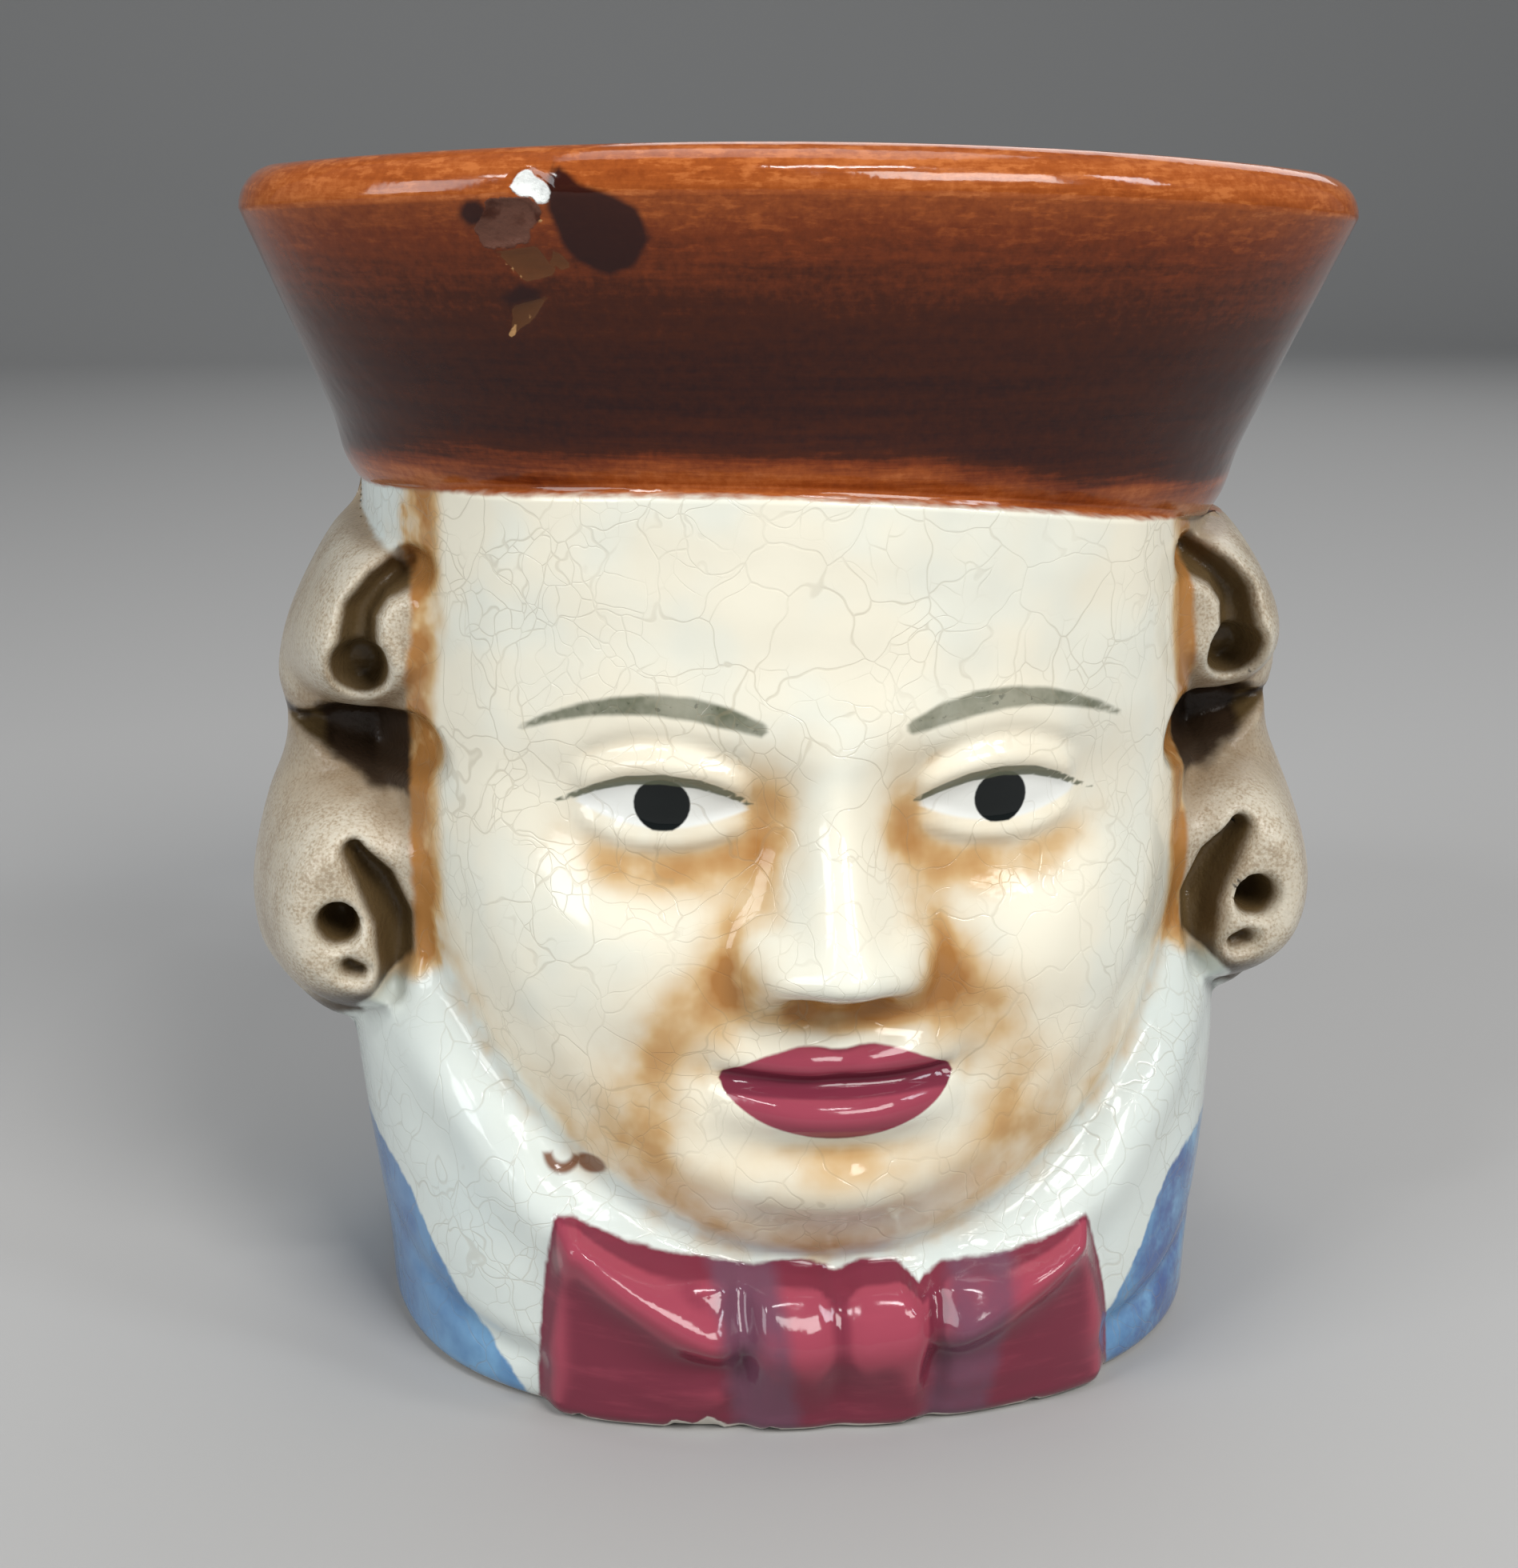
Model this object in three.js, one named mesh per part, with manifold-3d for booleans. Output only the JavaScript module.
// A small slip-cast toby jug: a head under a cocked hat, whose upturned brim is the jug's rim, with side
// curls, a stand-up collar, a neck bow and a loop handle behind. It is one hollow casting, open at the top.
// Millimetres, +Z up. The face looks along -Y, and the origin is the centre of the flat underside.
import * as THREE from "three";
import Module from "manifold-3d";
import { mergeVertices } from "three/addons/utils/BufferGeometryUtils.js";

const wasm = await Module();
wasm.setup();

const { clamp, lerp, smoothstep } = THREE.MathUtils;

// ---- Driving dimensions -------------------------------------------------------------------------------
const rimHeight = 52; // at the front
const wall = 3;
const floorThickness = 3.6;
const curlSwell = 0.8; // how far the inside swells outwards behind the curls
const cornerRadius = 3; // rounding between the inside wall and the floor
const footRadius = 0.9; // rounding of the edge that the jug stands on

// The body without its hair, as stations of [height, distance from the axis].
const bodyHalfWidth = [[0, 18.9], [3.5, 19.1], [9.8, 20], [13.5, 20.3], [20, 19.6], [30, 19.3], [39.1, 19]];
const bodyFront = [[0, 18.2], [4, 18.8], [9, 18.5], [14, 17.9], [24, 17.4], [32, 17.3], [39.1, 17.5]];
const bodyBack = [[0, 17.9], [5, 18.5], [12, 19.3], [22, 19.8], [32, 19.4], [39.1, 18.7]];
const bodyPower = [[0, 2.6], [9, 2.35], [18, 2.0], [39.1, 2.0]]; // exponent of the plan outline

const hat = {
  edge: 39.1, // height of its lower edge at the front
  edgeDrop: 2.0, // how much lower that edge is at the sides and behind
  edgeTilt: 1.0, // and at the jug's left ear, which hangs lower than the right one
  rimDrop: 1.0,
  rimTilt: 0.25,
  rimHalfWidth: 23.1,
  rimFront: 21.4,
  rimBack: 21.8,
  lip: 0.3, // how far its lower edge stands off the forehead
  lipHeight: 0.9,
  advance: 4.0, // how far the two side corners come forward of the middle
  squareness: 2.4, // exponent of the brim's plan outline at the rim
  rimRadius: 1.7,
};
const wallTop = rimHeight - hat.rimRadius;

// How far the hair reaches on either side, as stations of [height, distance from the axis].
const hairOutline = [
  [10.5, 19.0],
  [11.5, 20.0],
  [12.6, 21.1],
  [13.8, 22.4],
  [15.1, 23.6],
  [16.6, 24.5],
  [18.2, 24.75],
  [20, 24.7],
  [21.9, 24.3],
  [23.6, 23.8],
  [25.6, 23.0],
  [27.3, 22.8],
  [29, 23.1],
  [30.5, 22.9],
  [32.2, 22.35],
  [34.1, 21.4],
  [35.7, 20.4],
  [36.8, 19.4],
  [38.5, 18.5],
];
// The side curls, as upright ovals in the plane that faces the viewer.
const curls = [
  { x: 18.3, z: 32.5, wide: 5.2, tall: 4.2 },
  { x: 18.9, z: 19.9, wide: 6.2, tall: 5.4 },
];
const hairBed = 4.6; // the hair between the curls
const curlFront = { end: 9.6, rounding: 3.2 }; // how far their scrolled ends stand in front of the middle
const curlBack = { end: 7.5, rounding: 6.0 }; // and their plain ends behind it
// The eyes and grooves of the scrolls, and the recess between the curls, as strokes. Each point is
// [x, height, half width].
const hollows = [
  { path: [[18.9, 30.7, 1.25], [18.95, 30.9, 1.25]], depth: 3.4 },
  { path: [[18.95, 31.6, 0.95], [18.75, 33.2, 0.85], [18.0, 34.2, 0.8], [16.4, 35.1, 0.85]], depth: 2.2 },
  { path: [[20.25, 19.6, 0.95], [20.3, 19.7, 0.95]], depth: 3.2 },
  {
    path: [[19.5, 22.8, 0.6], [18.6, 21.3, 0.9], [17.95, 19.6, 0.95], [17.9, 17.9, 0.9], [18.1, 16.4, 0.7]],
    depth: 2.4,
  },
  { path: [[16.7, 27.2, 1.5], [18.4, 26.8, 1.4], [20.2, 27.2, 1.2], [22.3, 27.4, 0.4]], depth: 2.6 },
];

// The face: a plain oval on thirds, with five eye widths across.
const chinHeight = 9.4;
const faceHeight = hat.edge - chinHeight;
const face = {
  middle: chinHeight + 0.5 * faceHeight,
  halfWidth: 16.9,
  halfHeight: 0.55 * faceHeight,
  raise: 1.4,
  brow: chinHeight + (2 / 3) * faceHeight,
  eyes: chinHeight + 0.585 * faceHeight,
  noseBase: chinHeight + (1 / 3) * faceHeight,
  mouth: chinHeight + (2 / 9) * faceHeight,
};
const eyeSpacing = (2 * face.halfWidth) / 5; // an eye's width, and how far each eye stands from the middle
const mouthHalfWidth = 0.76 * eyeSpacing;
const noseProtrusion = 4.3;

const bow = {
  halfWidth: 12.4,
  shift: 0.2, // how far it sits towards the jug's left
  wingTop: 8.9,
  dipTop: 7.3,
  tip: 10.7, // how far out the wings' upper corners are
  knotHalfWidth: 3.6,
  knotTop: 7.3,
  raise: 0.95,
};
const collarHeight = 15.5; // where the collar meets the hair

const handle = {
  halfWidth: 3.1,
  halfThickness: 2.1,
  flare: 1.35, // how much thicker it is where it meets the body
  route: [
    [17.6, 35.2],
    [22.6, 36.0],
    [27.6, 34.0],
    [30.6, 28.6],
    [29.9, 21.4],
    [25.6, 14.6],
    [17.8, 11.4],
  ], // distance behind the axis, and height
};

const columns = { front: 52, back: 23 };

// ---- Small shape functions ----------------------------------------------------------------------------
const bell = (distance, width) => Math.exp(-((distance / width) ** 2));
const blob = (dx, dz, wx, wz) => Math.exp(-((dx / wx) ** 2) - (dz / wz) ** 2);

// The larger of two values, with the corner between them rounded over a span of k.
function softMax(a, b, k) {
  const h = clamp(0.5 + (0.5 * (a - b)) / k, 0, 1);
  return lerp(b, a, h) + k * h * (1 - h);
}

// A quarter circle that rises from 0 at the edge to 1 at a distance of width inside it.
const rounded = (inside, width) => Math.sqrt(1 - (1 - clamp(inside / width, 0, 1)) ** 2);

// A smooth curve through stations of [height, value]: cubic pieces with the slopes of their neighbours.
function through(stations, z) {
  const n = stations.length;
  const slope = (i) => {
    const [low, high] = [stations[Math.max(i - 1, 0)], stations[Math.min(i + 1, n - 1)]];
    return (high[1] - low[1]) / (high[0] - low[0]);
  };
  const last = stations.findIndex(([height]) => z < height);
  if (last === 0) return stations[0][1];
  if (last < 0) return stations[n - 1][1];
  const [[z0, v0], [z1, v1]] = [stations[last - 1], stations[last]];
  const span = z1 - z0;
  const t = (z - z0) / span;
  return (
    v0 * (2 * t ** 3 - 3 * t ** 2 + 1) +
    slope(last - 1) * span * (t ** 3 - 2 * t ** 2 + t) +
    v1 * (3 * t ** 2 - 2 * t ** 3) +
    slope(last) * span * (t ** 3 - t ** 2)
  );
}

// ---- The plan outline at each level -------------------------------------------------------------------
// Levels run from 0 at the foot to rimHeight. A level is a height at the front, and droops towards the sides.
function hatShare(level) {
  return clamp((level - hat.edge) / (wallTop - hat.edge), 0, 1);
}

function brim(low, high, level) {
  const share = hatShare(level);
  return lerp(low, high, share) + hat.lip * bell(level - hat.edge - hat.lipHeight, 1.2);
}

function planAt(level) {
  const onHat = level >= hat.edge;
  const at = (stations, rim) => {
    if (!onHat) return through(stations, level);
    return brim(through(stations, hat.edge), rim, level);
  };
  return {
    half: at(bodyHalfWidth, hat.rimHalfWidth),
    front: at(bodyFront, hat.rimFront),
    back: at(bodyBack, hat.rimBack),
    power: lerp(through(bodyPower, Math.min(level, hat.edge)), hat.squareness, hatShare(level)),
  };
}

// side is -1 at the jug's right, 0 in the middle and 1 at its left.
function heightOf(level, side, isFront) {
  const along = isFront ? side * side : 1;
  const share = hatShare(level);
  const drop = lerp(hat.edgeDrop, hat.rimDrop, share) * along + lerp(hat.edgeTilt, hat.rimTilt, share) * side;
  return level - drop * smoothstep(level, 24, hat.edge);
}

const superellipse = (share, power) => Math.max(0, 1 - Math.min(Math.abs(share), 1) ** power) ** (1 / power);

// Brings the side corners of the hat forward.
const cornerAdvance = (level, share) => hat.advance * hatShare(level) * share ** 4;

// ---- Hair ---------------------------------------------------------------------------------------------
const silhouette = (half, z) => softMax(half, through(hairOutline, z), 0.4);

// A quarter sine that rises from 0 at the edge to 1 at a distance of width inside it.
const swollen = (inside, width) => Math.sin(0.5 * Math.PI * clamp(inside / width, 0, 1));

function hairMass(x, z, { end, rounding }) {
  return curls.reduce((most, curl) => {
    const radial = Math.hypot((x - curl.x) / curl.wide, (z - curl.z) / curl.tall);
    const inside = (1 - radial) * 0.5 * (curl.wide + curl.tall);
    return softMax(most, lerp(hairBed, end, swollen(inside + 0.3, rounding)), 0.6);
  }, hairBed);
}

// The distance inside a stroke of round brush marks, whose half width runs from point to point.
function insideStroke(x, z, path) {
  let most = -Infinity;
  for (let i = 1; i < path.length; i++) {
    const [[x0, z0, w0], [x1, z1, w1]] = [path[i - 1], path[i]];
    const length = (x1 - x0) ** 2 + (z1 - z0) ** 2;
    const t = clamp(((x - x0) * (x1 - x0) + (z - z0) * (z1 - z0)) / length, 0, 1);
    most = Math.max(most, lerp(w0, w1, t) - Math.hypot(x - lerp(x0, x1, t), z - lerp(z0, z1, t)));
  }
  return most;
}

function scrollDepth(x, z) {
  return hollows.reduce((depth, hollow) => {
    return Math.max(depth, hollow.depth * smoothstep(insideStroke(x, z, hollow.path), -0.8, 1.0));
  }, 0);
}

// ---- Face ---------------------------------------------------------------------------------------------
// Distance outside the edge of the face, negative inside it. The oval narrows a little towards the chin, and
// its temples run up under the hat.
function outsideFace(x, z) {
  const up = (z - face.middle) / face.halfHeight;
  const narrowing = 1 - 0.1 * smoothstep(-up, 0.1, 1);
  const radial = Math.hypot(x / (face.halfWidth * narrowing), up > 0 ? 0.4 * up : up);
  return (radial - 1) * 0.5 * (face.halfWidth + face.halfHeight);
}

function eyeRelief(x, z) {
  const dx = Math.abs(x) - eyeSpacing;
  const dz = z - face.eyes;
  const opening = Math.max(0, 1 - (dx / 3.6) ** 2);
  const upperLid = dz - 1.2 * opening;
  const lowerLid = -dz - 0.9 * opening;
  const alongLid = smoothstep(opening, 0, 0.35);
  return (
    -1.9 * blob(dx + 0.3, dz + 0.2, 4.6, 3.1) +
    1.5 * blob(dx, dz, 3.0, 2.0) +
    alongLid * (0.75 * bell(upperLid - 0.7, 0.8) + 0.5 * bell(lowerLid - 0.7, 0.8))
  );
}

function noseRelief(x, z) {
  const tip = face.noseBase + 1.9;
  const along = clamp((face.brow - 0.8 - z) / (face.brow - 0.8 - tip), 0, 1);
  const below = smoothstep(z, face.noseBase - 1.0, tip - 0.2);
  const above = smoothstep(face.brow + 1.6 - z, 0, 2.6);
  const ridge = (0.7 + (noseProtrusion - 0.7) * along ** 1.35) * above * below;
  const breadth = lerp(1.5, 2.35, along);
  const wings = 1.5 * blob(Math.abs(x) - 2.7, z - face.noseBase - 1.4, 1.5, 1.5);
  return ridge * Math.exp(-(Math.abs(x / breadth) ** 2.2)) + wings;
}

function mouthRelief(x, z) {
  const share = Math.min(Math.abs(x) / mouthHalfWidth, 1);
  const arch = 1 - share * share;
  const dz = z - face.mouth - 0.15 * share * share;
  const upper = 0.9 * arch ** 0.7 * bell(dz - 1.1, 0.9);
  const lower = 1.1 * arch ** 0.8 * bell(dz + 1.2, 1.0);
  const line = 0.7 * smoothstep(arch, 0, 0.35) * bell(dz, 0.6);
  return 0.7 * blob(x, dz, 6.5, 4.0) + upper + lower - line - 0.6 * blob(x, dz + 3.3, 3.8, 1.0);
}

function faceRelief(x, z) {
  const inside = -outsideFace(x, z);
  const features =
    0.8 * blob(Math.abs(x) - 5.5, z - face.brow, 5.5, 1.9) +
    1.5 * blob(Math.abs(x) - 9.8, z - face.noseBase - 1.6, 4.6, 4.3) +
    1.3 * blob(x, z - chinHeight - 2.6, 4.0, 2.4) +
    eyeRelief(x, z) +
    noseRelief(x, z) +
    mouthRelief(x, z);
  return face.raise * smoothstep(inside, -0.8, 3.6) + features * smoothstep(inside, 0, 3);
}

// ---- Collar and bow -----------------------------------------------------------------------------------
function bowTop(x) {
  const out = Math.abs(x);
  if (out < bow.knotHalfWidth) {
    return bow.knotTop - 0.4 * bell(out, 0.7) - 0.8 * smoothstep(out, 2.4, bow.knotHalfWidth) - 0.035 * x;
  }
  const share = clamp((out - bow.knotHalfWidth) / (bow.tip - bow.knotHalfWidth), 0, 1);
  const pinch = 0.5 * bell(out - bow.knotHalfWidth, 0.7);
  return bow.dipTop - pinch + (bow.wingTop - bow.dipTop) * share ** 2.2 - 0.035 * x;
}

function bowRelief(x, z) {
  const away = x - bow.shift;
  const out = Math.abs(away);
  const side = bow.halfWidth - (0.016 + 0.0006 * away) * z * z - out;
  const inside = Math.min(side, bowTop(away) - z);
  const knot = 0.5 * (1 - smoothstep(out, 3.0, 4.2)) - 0.4 * bell(out, 0.7);
  const across = clamp((out - bow.knotHalfWidth) / (bow.tip - bow.knotHalfWidth), 0, 1);
  const fold = 0.6 * bell(z - lerp(4.7, 8.4, across ** 1.7), 1.0) * smoothstep(across, 0, 0.3);
  const dip = 0.35 * bell(z - lerp(6.3, 10.2, across ** 1.7), 0.9) * smoothstep(across, 0.1, 0.4);
  const pinch = 0.5 * bell(out - bow.knotHalfWidth - 0.4, 0.6);
  const low = lerp(0.35, 1, smoothstep(z, 0.3, 3));
  return (bow.raise + (knot + fold - dip - pinch) * low) * smoothstep(inside, -0.5, 1.5);
}

function collarRelief(x, z) {
  const out = outsideFace(x, z);
  const below = 1 - smoothstep(z, collarHeight - 2, collarHeight + 2);
  const over = z - 2.2 - 0.06 * Math.max(Math.abs(x) - 11.5, 0) ** 2;
  const aside = smoothstep(Math.abs(x), 11, 13);
  const overlap = 0.3 * smoothstep(over, 0, 1.5) - 0.45 * bell(over, 0.7);
  const ridge = 0.7 * bell(out - 3.6, 1.5) + overlap * aside;
  return below * ridge - lerp(0.8, 0.2, smoothstep(z, 21, 30)) * bell(out - 0.9, 1.0);
}

// ---- Points of the outside ----------------------------------------------------------------------------
function frontDepth(x, z, level, plan, reach) {
  const head = plan.front * superellipse(x / plan.half, plan.power);
  if (level >= hat.edge) return head;
  const out = Math.abs(x);
  const edge = rounded(reach - out, curlFront.rounding);
  const fade = smoothstep(reach - out, 0, 3);
  const hairy = smoothstep(z, 11.2, 14.2) * (1 - smoothstep(z, 35.5, 37.5));
  const hair = edge * hairMass(out, z, curlFront) * hairy;
  const carved = softMax(head, hair, 0.9) - edge * scrollDepth(out, z);
  const relief = faceRelief(x, z) + collarRelief(x, z) + bowRelief(x, z);
  return carved + relief * fade;
}

// Behind, the hair hangs in broad wavy locks over a plain collar and coat.
function backDepth(x, z, level, plan, reach) {
  const head = plan.back * superellipse(x / plan.half, plan.power);
  if (level >= hat.edge) return head;
  const out = Math.abs(x);
  const edge = rounded(reach - out, curlFront.rounding);
  const hairy = smoothstep(z, 11.2, 14.2) * (1 - smoothstep(z, 35.5, 37.5));
  const hair = edge * hairMass(out, z, curlBack) * hairy;
  const locks = 0.55 * Math.cos((2 * Math.PI * (x + 0.9 * Math.sin(z / 3.2))) / 6.6);
  const bottom = 0.7 * bell(z - 12.2, 1.2);
  return softMax(head, hair, 0.9) + (locks * hairy + bottom) * smoothstep(reach - out, 1, 5);
}

// phi turns round the jug: 0 in front, and a quarter turn at the jug's left.
function outerPoint(phi, level) {
  const side = Math.sin(phi);
  const isFront = Math.cos(phi) > -1e-9;
  const plan = planAt(level);
  const z = heightOf(level, side, isFront);
  const reach = level < hat.edge ? silhouette(plan.half, z) : plan.half;
  const x = reach * side;
  const depth = (isFront ? frontDepth : backDepth)(x, z, level, plan, reach);
  return [x, (isFront ? -depth : depth) - cornerAdvance(level, side), z];
}

// ---- Points of the inside, the rim, the underside and the floor ---------------------------------------
// A plain plan outline, drawn in by an inset from the body's own. Inside, it swells a little behind the
// curls.
function plainPoint(phi, level, inset, z) {
  const side = Math.sin(phi);
  const isFront = Math.cos(phi) > -1e-9;
  const plan = planAt(level);
  const swell = inset >= wall ? curlSwell * bell(level - 25, 9) : 0;
  const depth = ((isFront ? plan.front : plan.back) - inset) * superellipse(side, plan.power);
  return [
    (plan.half + swell - inset) * side,
    (isFront ? -depth : depth) - cornerAdvance(level, side),
    z ?? heightOf(level, side, isFront),
  ];
}

// The rounded edge of the foot, drawn in from the outside. Its top is at a turn of 0, and its bottom at a
// quarter turn.
function footPoint(phi, turn) {
  const [x, y] = outerPoint(phi, footRadius);
  const scale = 1 - (footRadius * (1 - Math.cos(turn))) / Math.hypot(x, y);
  return [x * scale, y * scale, footRadius * (1 - Math.sin(turn))];
}

function rimPoint(phi, turn) {
  const inset = hat.rimRadius * (1 - Math.cos(turn));
  const top = heightOf(wallTop, Math.sin(phi), Math.cos(phi) > -1e-9) + hat.rimRadius * Math.sin(turn);
  return plainPoint(phi, wallTop, inset, top);
}

// Evenly spaced values from low to high, the last one left out unless ends is true.
const spaced = (low, high, count, ends = false) =>
  Array.from({ length: count + (ends ? 1 : 0) }, (_, i) => lerp(low, high, i / count));

// Every ring of the jug's surface in order: from the underside up the outside, over the rim and down to the
// floor.
function rings() {
  const foot = spaced(Math.PI / 2, 0, 2).map((turn) => (phi) => footPoint(phi, turn));
  const outsideLevels = [
    ...spaced(footRadius, bow.knotTop - 1, 5),
    ...spaced(bow.knotTop - 1, chinHeight + 3, 8),
    ...spaced(chinHeight + 3, hat.edge - 0.3, 23, true),
    ...spaced(hat.edge, hat.edge + 1.8, 2),
    ...spaced(hat.edge + 1.8, wallTop, 4),
  ];
  const outside = outsideLevels.map((level) => (phi) => outerPoint(phi, level));
  const rim = spaced(0, Math.PI, 6).map((turn) => (phi) => rimPoint(phi, turn));
  const cornerTop = floorThickness + cornerRadius;
  const insideLevels = [...spaced(wallTop, hat.edge, 3), ...spaced(hat.edge, cornerTop, 5, true)];
  const inside = insideLevels.map((level) => (phi) => {
    const inset = lerp(wall, 2 * hat.rimRadius, smoothstep(level, hat.edge, wallTop));
    return plainPoint(phi, level, inset);
  });
  const corner = spaced(0.3 * Math.PI, Math.PI / 2, 1, true).map((turn) => (phi) => {
    const inset = wall + cornerRadius * (1 - Math.cos(turn));
    const height = floorThickness + cornerRadius * (1 - Math.sin(turn));
    return plainPoint(phi, cornerTop, inset, height);
  });
  return [...foot, ...outside, ...rim, ...inside, ...corner];
}

// ---- Solids -------------------------------------------------------------------------------------------
function solidFrom(points, triangles) {
  const geometry = new THREE.BufferGeometry();
  geometry.setAttribute("position", new THREE.Float32BufferAttribute(points.flat(), 3));
  geometry.setIndex(triangles);
  const merged = mergeVertices(geometry, 1e-4);
  const mesh = new wasm.Mesh({
    numProp: 3,
    vertProperties: merged.attributes.position.array,
    triVerts: new Uint32Array(merged.index.array),
  });
  return new wasm.Manifold(mesh);
}

const apart = (p, q) => Math.hypot(p[0] - q[0], p[1] - q[1], p[2] - q[2]);

// A closed skin over a stack of rings, each with the same number of points, with a fan at both ends. Each
// face between two rings is split along its shorter diagonal.
function skin(stack, first, last) {
  const count = stack[0].length;
  const points = [...stack.flat(), first, last];
  const triangles = [];
  for (let ring = 0; ring < stack.length - 1; ring++)
    for (let i = 0; i < count; i++) {
      const [a, b] = [ring * count + i, ring * count + ((i + 1) % count)];
      const [c, d] = [b + count, a + count];
      if (apart(points[a], points[c]) < apart(points[b], points[d])) triangles.push(a, b, c, a, c, d);
      else triangles.push(a, b, d, b, c, d);
    }
  const top = (stack.length - 1) * count;
  for (let i = 0; i < count; i++) {
    const next = (i + 1) % count;
    triangles.push(points.length - 2, next, i, points.length - 1, top + i, top + next);
  }
  return solidFrom(points, triangles);
}

function vessel() {
  const turns = [
    ...spaced(-Math.PI / 2, Math.PI / 2, columns.front),
    ...spaced(Math.PI / 2, (3 * Math.PI) / 2, columns.back),
  ];
  const stack = rings().map((ring) => turns.map((phi) => ring(phi)));
  return skin(stack, [0, 0, 0], [0, 0, floorThickness]);
}

// The loop behind: an oval section carried along a planar curve, thicker at both ends, which end in the wall.
function loop() {
  const route = new THREE.CatmullRomCurve3(handle.route.map(([y, z]) => new THREE.Vector3(0, y, z)));
  const [steps, sides] = [16, 12];
  const stack = spaced(0, 1, steps, true).map((share) => {
    const centre = route.getPointAt(share);
    const along = route.getTangentAt(share);
    const away = new THREE.Vector3(0, along.z, -along.y);
    const size = lerp(handle.flare, 1, smoothstep(0.5 - Math.abs(share - 0.5), 0, 0.22));
    return spaced(0, 2 * Math.PI, sides).map((turn) => [
      handle.halfWidth * size * Math.cos(turn),
      centre.y + away.y * handle.halfThickness * size * Math.sin(turn),
      centre.z + away.z * handle.halfThickness * size * Math.sin(turn),
    ]);
  });
  const ends = [0, 1].map((share) => route.getPointAt(share).toArray());
  return skin(stack, ...ends);
}

function meshFrom(solid, name, material) {
  const { numProp, numVert, vertProperties, triVerts } = solid.getMesh();
  const positions = new Float32Array(3 * numVert);
  for (let i = 0; i < numVert; i++) {
    const place = i * numProp;
    positions.set(vertProperties.subarray(place, place + 3), 3 * i);
  }
  const geometry = new THREE.BufferGeometry();
  geometry.setAttribute("position", new THREE.BufferAttribute(positions, 3));
  geometry.setIndex(new THREE.BufferAttribute(triVerts, 1));
  geometry.computeVertexNormals();
  const mesh = new THREE.Mesh(geometry, material);
  mesh.name = name;
  return mesh;
}

const glaze = new THREE.MeshStandardMaterial({ color: 0xe3ddca, roughness: 0.15, metalness: 0 });

const jug = new THREE.Group();
jug.add(meshFrom(vessel().add(loop()), "jug", glaze));

export default jug;
